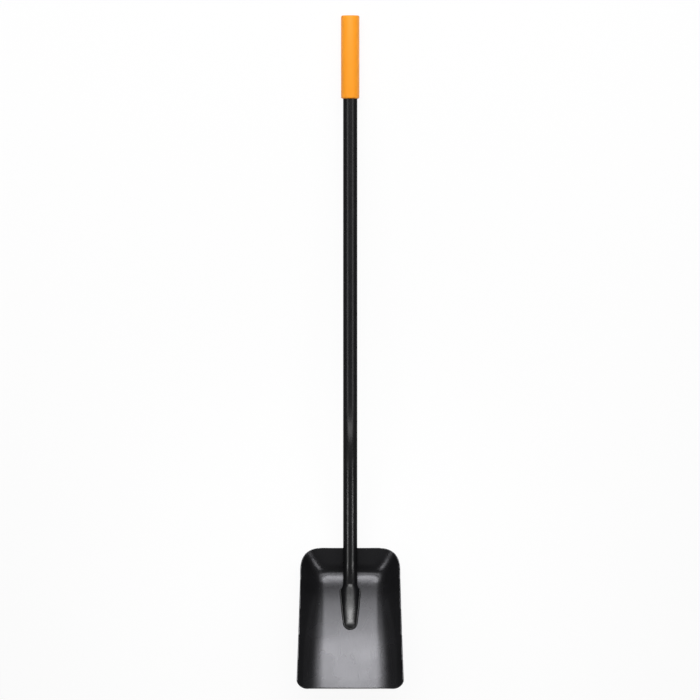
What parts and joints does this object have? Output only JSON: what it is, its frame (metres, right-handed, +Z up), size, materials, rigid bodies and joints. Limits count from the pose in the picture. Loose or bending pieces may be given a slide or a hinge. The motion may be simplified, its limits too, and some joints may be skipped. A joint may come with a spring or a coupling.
{
  "type": "scoop shovel",
  "caption": "Long-handled square-mouth scoop shovel with a bent tubular steel shaft, a pressed sheet-steel pan and a plastic sleeve grip.",
  "frame": {"origin": "on the ground, under the middle of the whole shovel's box, as it lies on its back with the pan's open side up", "axes": "+Y along the shovel towards the grip, +Z up from the ground on the pan's open side, +X across"},
  "size_m": [0.2088, 1.3238, 0.1488],
  "materials": {
    "pan_paint": "satin black paint on pressed steel, slightly scuffed on the floor",
    "shaft_paint": "satin black powder coat on steel tube",
    "grip_plastic": "satin orange moulded plastic",
    "weld_paint": "rippled weld bead under satin black paint"
  },
  "bodies": {
    "root": {"pan": "pan_paint", "shaft_tube": "shaft_paint", "grip_sleeve": "grip_plastic", "nose_weld": "weld_paint", "heel_weld": "weld_paint"}
  },
  "joints": []
}
